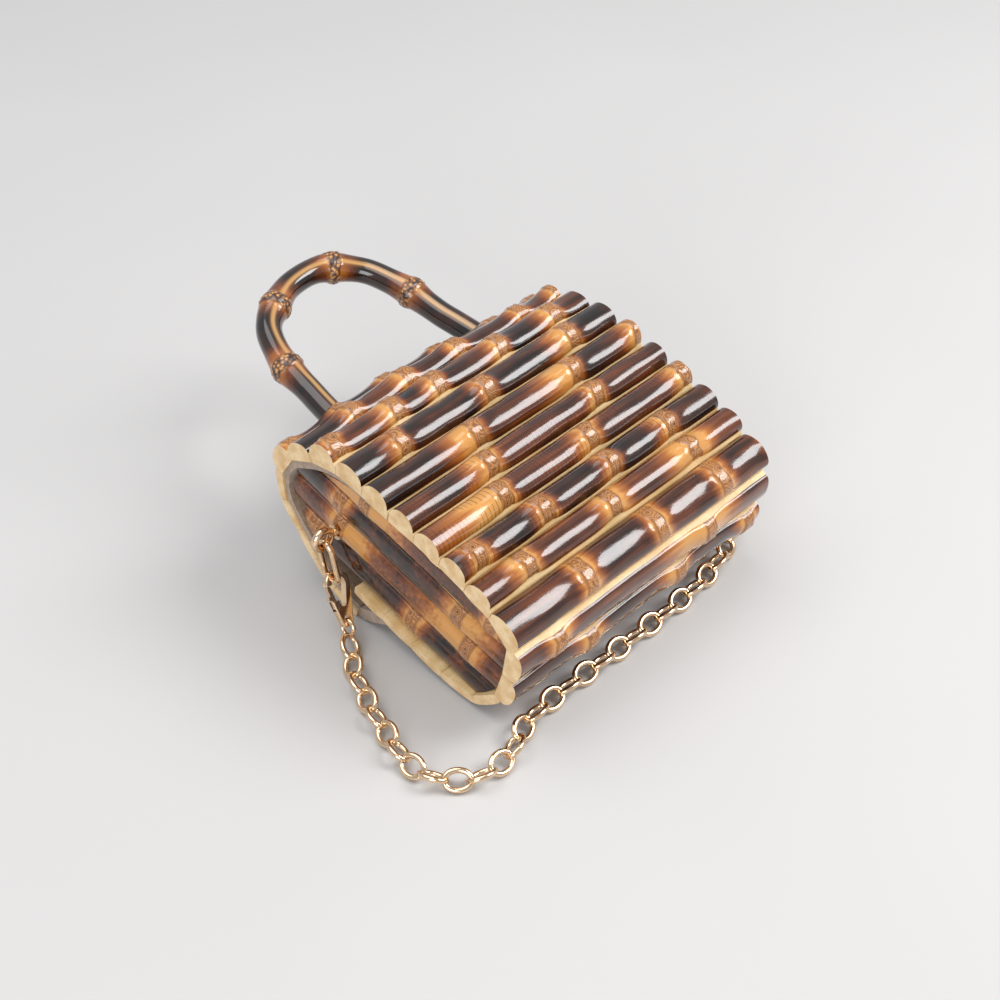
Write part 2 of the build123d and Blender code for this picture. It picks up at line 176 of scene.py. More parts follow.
# %% Growth nodes of each cane
SHELL_NODES = {
    "lid_cane_5": [(-79, 12, 5), (-47, 9, 4), (-15, 12, 4), (19, 8, 5), (55, 10, 4), (83, 9, 4)],
    "lid_cane_4": [(-52, 10, 4), (-17, 12, 4), (16.5, 9, 4), (59.5, 9, 4), (85, 10, 4)],
    "lid_cane_3": [(-78.5, 8, 5), (-41.5, 16, 4), (-14, 13, 4), (27, 12, 4), (64.5, 14, 4)],
    "lid_cane_2": [(-55.5, 13, 3), (-0.5, 10, 4), (56.5, 22, 4)],
    "lid_cane_1": [(-24.5, 26, 6), (40, 34, 5), (85, 12, 8)],
    "front_cane_1": [(-33, 20, 8), (38, 9, 5)],
    "front_cane_2": [(-41, 52, 7), (16.5, 14, 8), (81.5, 14, 10)],
    "front_cane_3": [(-74, 8, 9), (-31.5, 9, 7), (13, 9, 5), (53, 13, 4)],
    "front_cane_4": [(-58.5, 13, 8), (-3, 12, 12), (52, 26, 16)],
    "front_cane_5": [(-37.5, 7, 9), (10, 6, 8), (54.5, 7, 9), (93, 8, 4)],
    "base_cane_1": [(-61, 9, 12), (42, 40, 26)],
    "base_cane_2": [(-35, 14, 12), (27, 18, 9), (76, 10, 9)],
}
# how brown the bark is between its nodes, from black at 0
BARK_WARMTH = {
    "lid_cane_5": 0.12,
    "lid_cane_4": 0.16,
    "lid_cane_3": 0.14,
    "lid_cane_2": 0.06,
    "lid_cane_1": 0.14,
    "front_cane_1": 0.20,
    "front_cane_2": 0.24,
    "front_cane_3": 0.12,
    "front_cane_4": 0.30,
    "front_cane_5": 0.20,
    "base_cane_1": 0.30,
    "base_cane_2": 0.16,
}
# how much higher than the CAD section each cane's lower and upper shoulders are planed
SHOULDER_LIFT = {
    "front_cane_4": (1.5, -0.8),
    "front_cane_5": (2.8, -0.8),
    "base_cane_1": (2.2, -0.5),
    "base_cane_2": (1.6, -0.4),
}
# how far the crown sinks towards the left and right end of the lid's rear canes
CROWN_SINK = {"lid_cane_5": (3.0, 4.5), "lid_cane_4": (2.5, 3.0), "lid_cane_3": (0.5, 1.5)}
SWELL = 2.4
THINNING = 1.3
RIDGE = 0.5
GROOVE = 0.45


def node_rise(nodes, along, thinning=THINNING):
    """How far the bark stands out at a place along a cane: swelling, ridge and groove."""
    rise = -thinning
    for place, *_ in nodes:
        distance = along - place
        broad = math.exp(-((distance / 8.5) ** 2)) if distance < 0 else math.exp(-((distance / 6.0) ** 2))
        rise += SWELL * broad
        rise += RIDGE * math.exp(-(((distance - 2.6) / 0.7) ** 2))
        rise += RIDGE * 0.7 * math.exp(-(((distance + 2.6) / 0.8) ** 2))
        rise -= GROOVE * math.exp(-(((distance + 4.0) / 0.8) ** 2))
    return rise


def node_glow(nodes, along):
    """How amber the bark is at a place along a cane, and how much it is part of a node's band."""
    glow = band = 0.0
    for place, left_reach, right_reach in nodes:
        distance = along - place
        reach = left_reach if distance < 0 else right_reach
        glow = max(glow, smooth_fall(distance, reach + 4))
        band = max(band, smooth_fall(max(abs(distance) - 2.2, 0), 1.6))
    return glow, band


# %% [markdown]
# The columns of the grid run round the section: up the lower side, over the crown and down the upper
# side, and the merged seam lies in the flat foot.

# %% Model the canes
LENGTH_STEPS = 180
FIRST_SIDE, CROWN_END, LAST_SIDE = 0.10, 0.86, 0.96
SIDE_TOP = 0.04
SWELL_ON_SIDES = (0.42, 0.15)
BEVEL_IN = 0.85


def model_cane(node, nodes, lift=(0.8, -0.8), steps=LENGTH_STEPS, rounds=50, flat=False, sink=(0, 0), thinning=THINNING):
    """Builds one cane of the shell over its CAD node."""
    section = section_of(node)
    feet, rises, outward, crown = (section[key] for key in ("feet", "rises", "outward", "crown"))
    foot_line = (feet[1] - feet[0]).normalized()
    seed = sum(ord(letter) for letter in node)
    side_height = 4.0 if flat else 5.0

    def place(along, around):
        x = (along * 2 - 1) * HALF_WIDTH
        wave = noise.noise(Vector((x * 0.03, seed * 1.7, 0.3)))
        x_waved = x + 1.5 * noise.noise(Vector((around * 6.0, seed * 0.7, x * 0.02)))
        drop = sink[0] * smooth_fall(HALF_WIDTH + x, 60) + sink[1] * smooth_fall(HALF_WIDTH - x, 90)
        rise = 0.12 * wave if flat else node_rise(nodes, x_waved, thinning) + 0.5 * wave - drop
        swell = 0.0 if flat else max(node_rise(nodes, x) + THINNING, 0)
        shoulders = []
        for side in (0, 1):
            ripple = 0.5 * noise.noise(Vector((x * 0.07, seed * 3.1 + side * 9, 4.0)))
            height = side_height + ripple * (0.4 if flat else 1)
            bevel = 0.0
            if not flat:
                bevel = max(lift[side] + SWELL_ON_SIDES[side] * swell, 0.3)
                height += min(lift[side], 0) + bevel - 0.3 * drop
            inward = foot_line * (bevel * BEVEL_IN * (1 - 2 * side))
            shoulders.append(feet[side] + rises[side] * height + inward)
        side_top = feet[0] + rises[0] * (side_height - 0.2 - 0.3 * drop)
        if around < SIDE_TOP + 1e-6:
            spot = feet[0].lerp(side_top, around / SIDE_TOP)
            side = 1.0
        elif around < FIRST_SIDE - 1e-6:
            spot = side_top.lerp(shoulders[0], (around - SIDE_TOP) / (FIRST_SIDE - SIDE_TOP))
            side = 1.0
        elif around > LAST_SIDE + 1e-6:
            spot = feet[1].lerp(feet[0], (around - LAST_SIDE) / (1 - LAST_SIDE))
            side = 1.0
        elif around > CROWN_END + 1e-6:
            spot = shoulders[1].lerp(feet[1], (around - CROWN_END) / (LAST_SIDE - CROWN_END))
            side = 1.0
        else:
            turn = math.pi * min(max((around - FIRST_SIDE) / (CROWN_END - FIRST_SIDE), 0), 1)
            base = shoulders[0].lerp(shoulders[1], (1 - math.cos(turn)) / 2)
            middle_side = (shoulders[0] + shoulders[1]) / 2 - (feet[0] + feet[1]) / 2
            height = max(crown + rise - middle_side.dot(outward), 0.4)
            dimple = 0.0 if flat else 0.22 * noise.noise(Vector((x * 0.05, turn * 1.3, seed)))
            spot = base + outward * (height + dimple) * math.sin(turn)
            side = 0.0
        glow, band = node_glow(nodes, x_waved)
        numbers = {
            "glow": glow,
            "band": band,
            "side": side,
            "along": x + seed * 13.0,
            "around": around,
        }
        return Vector((x * MM, spot.x * MM, spot.y * MM)), numbers

    return bent_grid(node + "_bark", steps, rounds, place)


def give_faces(piece, bark, planed, cut):
    """Bark on the crown, planed wood on the sides and foot, cut wood on the ends."""
    for material in (bark, planed, cut):
        piece.data.materials.append(material)
    side = piece.data.attributes["side"].data
    for face in piece.data.polygons:
        if abs(face.normal.x) > 0.9 and len(face.vertices) > 4:
            face.material_index = 2
        elif sum(side[number].value for number in face.vertices) > 0.5:
            face.material_index = 1


# %% [markdown]
# ## Finishes
# Two effects are shared. The first scatters fine pores and fibres over cut or planed wood. The second
# draws the root scars of a growth node: rows of little rings, made from the distance to the nearest
# point of a cell pattern.


# %% Node helpers
def new_material(title):
    """An empty node material with its shader and output."""
    material = bpy.data.materials.new(title)
    material.use_nodes = True
    tree = material.node_tree
    tree.nodes.clear()
    shader = tree.nodes.new("ShaderNodeBsdfPrincipled")
    output = tree.nodes.new("ShaderNodeOutputMaterial")
    tree.links.new(shader.outputs["BSDF"], output.inputs["Surface"])
    return material, tree, shader


def link(tree, source, target):
    tree.links.new(source, target)


def number_of(tree, title):
    """A number kept on the vertices."""
    attribute = tree.nodes.new("ShaderNodeAttribute")
    attribute.attribute_name = title
    return attribute.outputs["Fac"]


def maths(tree, operation, first, second=None, clamp=False):
    node = tree.nodes.new("ShaderNodeMath")
    node.operation = operation
    node.use_clamp = clamp
    for socket, value in zip(node.inputs, (first, second)):
        if value is None:
            continue
        if isinstance(value, (int, float)):
            socket.default_value = value
        else:
            tree.links.new(value, socket)
    return node.outputs[0]


def ramp(tree, value, stops):
    """A colour ramp with (place, colour) stops."""
    node = tree.nodes.new("ShaderNodeValToRGB")
    while len(node.color_ramp.elements) < len(stops):
        node.color_ramp.elements.new(0.5)
    for element, (position, colour) in zip(node.color_ramp.elements, stops):
        element.position = position
        element.color = (*colour, 1)
    tree.links.new(value, node.inputs["Fac"])
    return node.outputs["Color"]


def mix(tree, factor, first, second, blend="MIX"):
    node = tree.nodes.new("ShaderNodeMix")
    node.data_type = "RGBA"
    node.blend_type = blend
    for socket, value in ((node.inputs[0], factor), (node.inputs[6], first), (node.inputs[7], second)):
        if isinstance(value, (int, float)):
            socket.default_value = value
        elif isinstance(value, tuple):
            socket.default_value = (*value, 1)
        else:
            tree.links.new(value, socket)
    return node.outputs[2]


def texture(tree, kind, vector, **settings):
    node = tree.nodes.new(kind)
    for key, value in settings.items():
        if key in node.inputs:
            node.inputs[key].default_value = value
        else:
            setattr(node, key, value)
    tree.links.new(vector, node.inputs["Vector"])
    return node


def stretched(tree, scale, turn=(0, 0, 0)):
    """Object coordinates, turned and stretched."""
    coordinates = tree.nodes.new("ShaderNodeTexCoord")
    mapping = tree.nodes.new("ShaderNodeMapping")
    mapping.inputs["Scale"].default_value = scale
    mapping.inputs["Rotation"].default_value = turn
    tree.links.new(coordinates.outputs["Object"], mapping.inputs["Vector"])
    return mapping.outputs["Vector"]


def bump(tree, shader, height, strength, distance):
    node = tree.nodes.new("ShaderNodeBump")
    node.inputs["Strength"].default_value = strength
    node.inputs["Distance"].default_value = distance
    tree.links.new(height, node.inputs["Height"])
    tree.links.new(node.outputs["Normal"], shader.inputs["Normal"])


def new_group(title, inputs, outputs):
    group = bpy.data.node_groups.new(title, "ShaderNodeTree")
    for name, kind in inputs:
        group.interface.new_socket(name=name, in_out="INPUT", socket_type=kind)
    for name, kind in outputs:
        group.interface.new_socket(name=name, in_out="OUTPUT", socket_type=kind)
    return group, group.nodes.new("NodeGroupInput"), group.nodes.new("NodeGroupOutput")


def use_group(tree, group):
    node = tree.nodes.new("ShaderNodeGroup")
    node.node_tree = group
    return node


# %% Shared effects
PORES, pores_in, pores_out = new_group(
    "Wood pores", [("Vector", "NodeSocketVector")], [("Pores", "NodeSocketFloat"), ("Fibre", "NodeSocketFloat")]
)
pore_cells = texture(PORES, "ShaderNodeTexVoronoi", pores_in.outputs["Vector"], Scale=1150.0)
pore_noise = texture(PORES, "ShaderNodeTexNoise", pores_in.outputs["Vector"], Scale=420.0, Detail=4.0)
link(PORES, maths(PORES, "LESS_THAN", pore_cells.outputs["Distance"], 0.36), pores_out.inputs["Pores"])
link(PORES, pore_noise.outputs["Fac"], pores_out.inputs["Fibre"])

SCARS, scars_in, scars_out = new_group(
    "Root scars", [("Vector", "NodeSocketVector")], [("Rings", "NodeSocketFloat"), ("Hearts", "NodeSocketFloat")]
)
scar_cells = texture(SCARS, "ShaderNodeTexVoronoi", scars_in.outputs["Vector"], Scale=210.0)
scar_wave = maths(SCARS, "SINE", maths(SCARS, "MULTIPLY", scar_cells.outputs["Distance"], 27.0))
link(SCARS, maths(SCARS, "MULTIPLY_ADD", scar_wave, 0.5), scars_out.inputs["Rings"])
SCARS.nodes[-1].inputs[2].default_value = 0.5
link(SCARS, maths(SCARS, "LESS_THAN", scar_cells.outputs["Distance"], 0.16), scars_out.inputs["Hearts"])

# %% [markdown]
# The lacquered bark is scorched bamboo under a thick gloss. Its colour follows the amber glow near
# the nodes, broken up by long fibre streaks. On some canes the lacquer has fine cracks across.

# %% Lacquered bark
BLACK_BARK = (0.007, 0.004, 0.003)
DARK_BARK = (0.034, 0.010, 0.004)
BROWN_BARK = (0.125, 0.030, 0.007)
AMBER_BARK = (0.36, 0.115, 0.020)
HONEY_BARK = (0.58, 0.27, 0.065)
SCAR_LIGHT = (0.46, 0.21, 0.065)
SCAR_BROWN = (0.19, 0.062, 0.018)
SCAR_DARK = (0.07, 0.025, 0.012)


BARK_BASE = 0.03


def lacquered_bark(title, warmth, cracked=0.0):
    material, tree, shader = new_material(title)
    streaks = texture(
        tree, "ShaderNodeTexNoise", stretched(tree, (14, 420, 420)), Scale=1.0, Detail=5.0, Roughness=0.6
    )
    clouds = texture(tree, "ShaderNodeTexNoise", stretched(tree, (38, 90, 90)), Scale=1.0, Detail=2.0)
    glow = number_of(tree, "glow")
    broken = maths(tree, "MULTIPLY_ADD", maths(tree, "SUBTRACT", clouds.outputs["Fac"], 0.5), 0.75)
    link(tree, glow, tree.nodes[-1].inputs[2])
    streaked = maths(tree, "MULTIPLY_ADD", maths(tree, "SUBTRACT", streaks.outputs["Fac"], 0.5), 0.75)
    link(tree, broken, tree.nodes[-1].inputs[2])
    shade = maths(tree, "ADD", streaked, warmth + BARK_BASE, clamp=True)
    bark = ramp(
        tree,
        shade,
        [(0.0, BLACK_BARK), (0.15, DARK_BARK), (0.40, BROWN_BARK), (0.76, AMBER_BARK), (1.0, HONEY_BARK)],
    )
    scars = use_group(tree, SCARS)
    link(tree, stretched(tree, (1, 1, 1)), scars.inputs["Vector"])
    band = number_of(tree, "band")
    scarred = mix(tree, scars.outputs["Rings"], SCAR_LIGHT, SCAR_BROWN)
    hearted = mix(tree, scars.outputs["Hearts"], scarred, SCAR_DARK)
    banded = mix(tree, maths(tree, "MULTIPLY", band, 0.92), bark, hearted)
    edge = maths(tree, "MULTIPLY", band, maths(tree, "SUBTRACT", 1.0, band))
    colour = mix(tree, maths(tree, "MULTIPLY", edge, 2.6, clamp=True), banded, SCAR_BROWN)
    cracks_height = None
    if cracked:
        cracks = texture(
            tree,
            "ShaderNodeTexWave",
            stretched(tree, (130, 16, 16)),
            Scale=1.0,
            Distortion=4.0,
            Detail=3.0,
            wave_profile="SIN",
        )
        thin = maths(tree, "GREATER_THAN", cracks.outputs["Fac"], 1 - 0.05 * cracked)
        fade = maths(tree, "MULTIPLY", thin, maths(tree, "GREATER_THAN", clouds.outputs["Fac"], 0.44))
        colour = mix(tree, maths(tree, "MULTIPLY", fade, 0.6), colour, BLACK_BARK)
        cracks_height = fade
    link(tree, colour, shader.inputs["Base Color"])
    speckle = texture(tree, "ShaderNodeTexNoise", stretched(tree, (260, 900, 900)), Scale=1.0, Detail=3.0)
    rough = maths(tree, "MULTIPLY_ADD", speckle.outputs["Fac"], 0.16)
    tree.nodes[-1].inputs[2].default_value = 0.10
    link(tree, maths(tree, "MULTIPLY_ADD", band, 0.10), shader.inputs["Roughness"])
    link(tree, rough, tree.nodes[-1].inputs[2])
    ring_height = maths(tree, "MULTIPLY", band, scars.outputs["Rings"])
    height = maths(tree, "ADD", maths(tree, "MULTIPLY", ring_height, 0.9), speckle.outputs["Fac"])
    height = maths(tree, "ADD", height, maths(tree, "MULTIPLY", streaks.outputs["Fac"], 1.1))
    if cracks_height is not None:
        height = maths(tree, "SUBTRACT", height, maths(tree, "MULTIPLY", cracks_height, 1.2))
    bump(tree, shader, height, 0.30, 0.00022)
    shader.inputs["Coat Weight"].default_value = 0.6
    shader.inputs["Coat Roughness"].default_value = 0.06
    shader.inputs["IOR"].default_value = 1.5
    return material


# %% Planed and cut wood
def pale_wood(title, light, dark, gloss):
    material, tree, shader = new_material(title)
    pores = use_group(tree, PORES)
    link(tree, stretched(tree, (0.35, 1, 1)), pores.inputs["Vector"])
    blotch = texture(tree, "ShaderNodeTexNoise", stretched(tree, (60, 130, 130)), Scale=1.0, Detail=3.0)
    base = ramp(tree, blotch.outputs["Fac"], [(0.34, dark), (0.62, light)])
    fibre = mix(tree, maths(tree, "MULTIPLY", pores.outputs["Fibre"], 0.55), base, dark)
    colour = mix(tree, maths(tree, "MULTIPLY", pores.outputs["Pores"], 0.45), fibre, dark)
    link(tree, colour, shader.inputs["Base Color"])
    shader.inputs["Roughness"].default_value = gloss
    height = maths(tree, "SUBTRACT", pores.outputs["Fibre"], pores.outputs["Pores"])
    bump(tree, shader, height, 0.35, 0.0002)
    return material


PLANED = pale_wood("Planed bamboo", (0.86, 0.66, 0.37), (0.66, 0.43, 0.18), 0.42)
CUT_END = pale_wood("Cut bamboo ends", (0.87, 0.68, 0.42), (0.62, 0.40, 0.18), 0.5)
BOARD = pale_wood("Board", (0.60, 0.40, 0.20), (0.40, 0.24, 0.11), 0.6)

# %% Build the shell
for cane, nodes in SHELL_NODES.items():
    lift = SHOULDER_LIFT.get(cane, (0.8, -0.8))
    thinning = 0.5 if cane in ("lid_cane_1", "front_cane_1") else THINNING
    piece = model_cane(cane, nodes, lift, sink=CROWN_SINK.get(cane, (0, 0)), thinning=thinning)
    cracked = {"front_cane_2": 1.0, "front_cane_3": 0.8, "front_cane_1": 0.5}.get(cane, 0.0)
    give_faces(piece, lacquered_bark("Bark " + cane, BARK_WARMTH[cane], cracked), PLANED, CUT_END)
    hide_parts(cane)
    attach(piece, "lid" if cane.startswith("lid") else "body")

for number in range(1, 6):
    for slat, body in ((f"back_slat_{number}", "body"), (f"lid_slat_{number}", "lid")):
        chooser = random.Random(slat)
        places = [-66 + 62 * step + chooser.uniform(-14, 14) for step in range(3)]
        nodes = [(place, chooser.uniform(8, 20), chooser.uniform(5, 9)) for place in places]
        piece = model_cane(slat, nodes, steps=90, rounds=50, flat=True)
        give_faces(piece, lacquered_bark("Bark " + slat, chooser.uniform(0.1, 0.35)), PLANED, CUT_END)
        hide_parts(slat)
        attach(piece, body)

# %% [markdown]
# ## The ends of the box
# Four canes run up each end of the body. They are trimmed to the arch of the end board, so each
# column of their grid runs from the outline's lower edge to its upper edge.

# %% End canes
END_FOOT = 76.5
END_CREST = 83.5
END_SIDE = 2.5
END_NODES = {
    1: [(58, 8, 8), (128, 10, 8)],
    2: [(24, 10, 46), (112, 34, 9)],
    3: [(33, 34, 15), (114, 9, 12)],
    4: [(14, 8, 10), (98, 44, 40)],
}
END_WARMTH = {1: 0.14, 2: 0.34, 3: 0.10, 4: 0.22}
END_BEVEL = {1: (0.6, 0.8), 2: (0.8, 0.8), 3: (0.8, 1.2), 4: (0.8, 5.5)}
SIDE_FOOT = 0.92


def model_end_cane(side, way, number):
    """Builds one cane of an end of the box over its CAD node."""
    node = f"end_cane_{side}_{number}"
    foot = [
        Vector((corner.x - HEEL.y, corner.y - HEEL.z)) for corner in outline_of(node, 0, way * END_FOOT, 0.05)
    ]
    up = Vector((UPWARD.y, UPWARD.z))
    front = Vector((FRONTWARD.y, FRONTWARD.z))
    flat = [Vector((corner.dot(up), corner.dot(front))) for corner in foot]
    loop = [flat[index] for index in convex_hull_2d(flat)]
    low = min(corner.y for corner in loop)
    high = max(corner.y for corner in loop)

    def span(depth):
        """Lowest and highest point of the outline at one depth."""
        hits = []
        for first, second in zip(loop, loop[1:] + loop[:1]):
            if (first.y - depth) * (second.y - depth) <= 0 and abs(first.y - second.y) > 1e-6:
                share = (depth - first.y) / (second.y - first.y)
                hits.append(first.x + share * (second.x - first.x))
        return min(hits), max(hits)

    seed = number * 7 + (3 if way > 0 else 0)

    def place(along, around):
        near, far = low + 0.02, high - 0.02
        side_face, height = 1.0, None
        near_bevel, far_bevel = (
            bevel * (1 + 0.35 * noise.noise(Vector((along * 6.0, seed, bevel)))) for bevel in END_BEVEL[number]
        )
        if around < SIDE_TOP + 1e-6:
            depth, height = near, END_SIDE * around / SIDE_TOP
        elif around < FIRST_SIDE - 1e-6:
            share = (around - SIDE_TOP) / (FIRST_SIDE - SIDE_TOP)
            depth, height = near + near_bevel * share, END_SIDE + near_bevel * share
        elif around > LAST_SIDE + 1e-6:
            depth, height = far + (near - far) * (around - LAST_SIDE) / (1 - LAST_SIDE), 0.0
        elif around > SIDE_FOOT + 1e-6:
            depth, height = far, END_SIDE * (LAST_SIDE - around) / (LAST_SIDE - SIDE_FOOT)
        elif around > CROWN_END + 1e-6:
            share = (SIDE_FOOT - around) / (SIDE_FOOT - CROWN_END)
            depth, height = far - far_bevel * share, END_SIDE + 0.5 * far_bevel * share
        else:
            turn = math.pi * min(max((around - FIRST_SIDE) / (CROWN_END - FIRST_SIDE), 0), 1)
            share, side_face = (1 - math.cos(turn)) / 2, 0.0
            depth = near + near_bevel + (far - far_bevel - near - near_bevel) * share
            lifted = END_SIDE + near_bevel * (1 - share) + 0.5 * far_bevel * share
        bottom, top = span(depth)
        rise = bottom + (top - bottom) * along
        if height is None:
            swell = 0.45 * (node_rise(END_NODES[number], rise) + THINNING) - 0.8
            swell += 0.3 * noise.noise(Vector((rise * 0.04, seed * 2.0, turn)))
            height = lifted + (END_CREST - END_FOOT - lifted + swell) * math.sin(turn)
        glow, band = node_glow(END_NODES[number], rise)
        numbers = {"glow": glow, "band": band, "side": side_face, "along": rise, "around": around}
        return bag_point(way * (END_FOOT + height), rise, depth), numbers

    return bent_grid(node + "_bark", 120, 50, place)


for side, way in (("left", -1), ("right", 1)):
    for number in END_NODES:
        piece = model_end_cane(side, way, number)
        give_faces(piece, lacquered_bark(f"Bark end {side} {number}", END_WARMTH[number]), PLANED, CUT_END)
        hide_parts(f"end_cane_{side}_{number}")
        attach(piece, "body")
    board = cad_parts[f"end_board_{side}"]
    board.data.materials.clear()
    board.data.materials.append(BOARD)

# %% [markdown]
# ## The handle
# The handle is a bent root: a round rod with rough nodes, scorched and lacquered like the canes. It
# stands in the lid's crown cane. Its centre line is a smooth curve through the same corners as the
# CAD handle, and its thickness follows the nodes.

# %% Handle
HANDLE_DEPTH = 37.0
HANDLE_LINE = [
    (-46.3, 152.6),
    (-45.6, 168),
    (-44.7, 180),
    (-44, 196),
    (-41, 208),
    (-36.5, 219),
    (-30.4, 226.3),
    (-22.2, 231.8),
    (-10.3, 237.8),
    (1, 240),
    (11.4, 239.5),
    (19.7, 236),
    (27.4, 229.6),
    (33.4, 222.2),
    (37.8, 211.3),
    (41.4, 198.3),
    (42.7, 186.8),
    (44, 177),
    (46, 168),
    (49.2, 152.6),
]
HANDLE_NODE_CORNERS = (3, 7, 11, 15)
HANDLE_RADIUS = 6.7


def smooth_line(corners, steps):
    """Points spaced evenly along a smooth curve through the corners, with each corner's distance."""
    points, marks = [], []
    padded = [corners[0] * 2 - corners[1], *corners, corners[-1] * 2 - corners[-2]]
    for number in range(1, len(padded) - 2):
        before, start, end, after = padded[number - 1 : number + 3]
        marks.append(len(points))
        for step in range(12):
            t = step / 12
            points.append(
                0.5
                * (
                    2 * start
                    + (end - before) * t
                    + (2 * before - 5 * start + 4 * end - after) * t**2
                    + (3 * start - before - 3 * end + after) * t**3
                )
            )
    marks.append(len(points))
    points.append(corners[-1])
    lengths = [0.0]
    for first, second in zip(points, points[1:]):
        lengths.append(lengths[-1] + (second - first).length)
    even, spot = [], 0
    for step in range(steps + 1):
        goal = lengths[-1] * step / steps
        while spot < len(points) - 2 and lengths[spot + 1] < goal:
            spot += 1
        share = (goal - lengths[spot]) / max(lengths[spot + 1] - lengths[spot], 1e-9)
        even.append(points[spot].lerp(points[spot + 1], share))
    return even, [lengths[mark] for mark in marks], lengths[-1]


HANDLE_STEPS = 260
handle_corners = [bag_point(across, height, HANDLE_DEPTH) for across, height in HANDLE_LINE]
handle_points, handle_marks, handle_length = smooth_line(handle_corners, HANDLE_STEPS)
handle_nodes = [(handle_marks[corner] / MM, 15, 15) for corner in HANDLE_NODE_CORNERS]
print("handle length", round(handle_length / MM, 1), "nodes at", [round(node[0]) for node in handle_nodes])


def place_handle(along, around):
    spot = along * HANDLE_STEPS
    step = min(int(spot), HANDLE_STEPS - 1)
    centre = handle_points[step].lerp(handle_points[step + 1], spot - step)
    ahead = handle_points[min(step + 1, HANDLE_STEPS)] - handle_points[max(step - 1, 0)]
    sideways = ahead.cross(FRONTWARD).normalized()
    turn = math.tau * around
    distance = along * handle_length / MM
    radius = HANDLE_RADIUS
    rough = 0.0
    for node, *_ in handle_nodes:
        near = abs(distance - node)
        radius += 1.2 * math.exp(-((near / 8.0) ** 2)) + 0.7 * smooth_fall(near, 5.0)
        rough = max(rough, smooth_fall(max(near - 2.6, 0), 1.8))
    direction = sideways * math.cos(turn) + FRONTWARD * math.sin(turn)
    point = centre + direction * radius * MM
    knobs = noise.noise(point / MM * 0.75) + 0.6 * noise.noise(point / MM * 1.9)
    # A shallow groove is sunk along the upward face of the rod. The same mask also paints a pale amber stripe
    # there in the handle's finish: a painted highlight, not a colour of the root.
    groove = math.exp(-(((turn - math.pi * 0.42) / 0.16) ** 2)) * (1 - rough)
    point += direction * (knobs * 0.45 * rough - 0.45 * groove) * MM
    glow, _ = node_glow(handle_nodes, distance)
    numbers = {"glow": glow, "band": rough, "side": groove, "along": distance, "around": around}
    return point, numbers


handle = bent_grid("handle_root", 520, 40, place_handle)


# %% Handle finish
def root_lacquer(title):
    material, tree, shader = new_material(title)
    clouds = texture(tree, "ShaderNodeTexNoise", stretched(tree, (90, 90, 90)), Scale=1.0, Detail=4.0)
    glow = number_of(tree, "glow")
    drift = maths(tree, "MULTIPLY", maths(tree, "SUBTRACT", clouds.outputs["Fac"], 0.28), 0.95)
    shade = maths(tree, "ADD", drift, maths(tree, "MULTIPLY", glow, 0.7), clamp=True)
    bark = ramp(
        tree, shade, [(0.12, BLACK_BARK), (0.34, DARK_BARK), (0.62, BROWN_BARK), (0.92, AMBER_BARK)]
    )
    knots = texture(tree, "ShaderNodeTexVoronoi", stretched(tree, (1, 1, 1)), Scale=520.0)
    knotty = ramp(
        tree,
        knots.outputs["Distance"],
        [(0.18, (0.62, 0.33, 0.10)), (0.42, (0.26, 0.10, 0.03)), (0.7, (0.03, 0.014, 0.008))],
    )
    colour = mix(tree, number_of(tree, "band"), bark, knotty)
    # Painted highlight: the pale amber stripe along the upward face of the rod, carried by the "side" number, is
    # lit colour laid over the sunken groove.
    painted_highlight_stripe = mix(tree, maths(tree, "MULTIPLY", number_of(tree, "side"), 0.9), colour, (0.62, 0.34, 0.12))
    link(tree, painted_highlight_stripe, shader.inputs["Base Color"])
    link(tree, maths(tree, "MULTIPLY_ADD", number_of(tree, "band"), 0.28), shader.inputs["Roughness"])
    tree.nodes[-1].inputs[2].default_value = 0.13
    height = maths(tree, "MULTIPLY", number_of(tree, "band"), knots.outputs["Distance"])
    height = maths(tree, "ADD", height, maths(tree, "MULTIPLY", clouds.outputs["Fac"], 0.25))
    bump(tree, shader, height, 0.6, 0.0006)
    shader.inputs["Coat Weight"].default_value = 0.6
    shader.inputs["Coat Roughness"].default_value = 0.06
    return material


handle.data.materials.append(root_lacquer("Root lacquer"))
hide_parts("handle")
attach(handle, "lid")


# %% [markdown]
# ## Fleece
# The lid is lined with a ribbed brown fleece that shows as a fuzzy band in the arch at each end.

# %% Fleece
def fleece(title, light, dark):
    material, tree, shader = new_material(title)
    fuzz = texture(tree, "ShaderNodeTexNoise", stretched(tree, (1, 1, 1)), Scale=1400.0, Detail=4.0)
    tufts = texture(tree, "ShaderNodeTexNoise", stretched(tree, (1, 1, 1)), Scale=300.0, Detail=3.0)
    rib = maths(tree, "SINE", maths(tree, "MULTIPLY", number_of(tree, "along"), math.tau / 1.7))
    ribbed = maths(tree, "MULTIPLY_ADD", rib, 0.22)
    link(tree, tufts.outputs["Fac"], tree.nodes[-1].inputs[2])
    colour = ramp(tree, ribbed, [(0.22, dark), (0.78, light)])
    speckled = mix(tree, maths(tree, "MULTIPLY", fuzz.outputs["Fac"], 0.5), colour, light)
    link(tree, speckled, shader.inputs["Base Color"])
    shader.inputs["Roughness"].default_value = 0.95
    shader.inputs["Sheen Weight"].default_value = 0.5
    bump(tree, shader, maths(tree, "ADD", fuzz.outputs["Fac"], ribbed), 0.9, 0.0006)
    return material


FLEECE = fleece("Ribbed fleece", (0.42, 0.30, 0.20), (0.13, 0.075, 0.045))
for node in ("lid_fleece", "body_fleece", "hinge_cloth"):
    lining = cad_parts[node]
    lining.data.materials.clear()
    lining.data.materials.append(FLEECE)


# %% [markdown]
# ## Gilt metal
# The clasps, links and chain are plated in a pale polished gold.

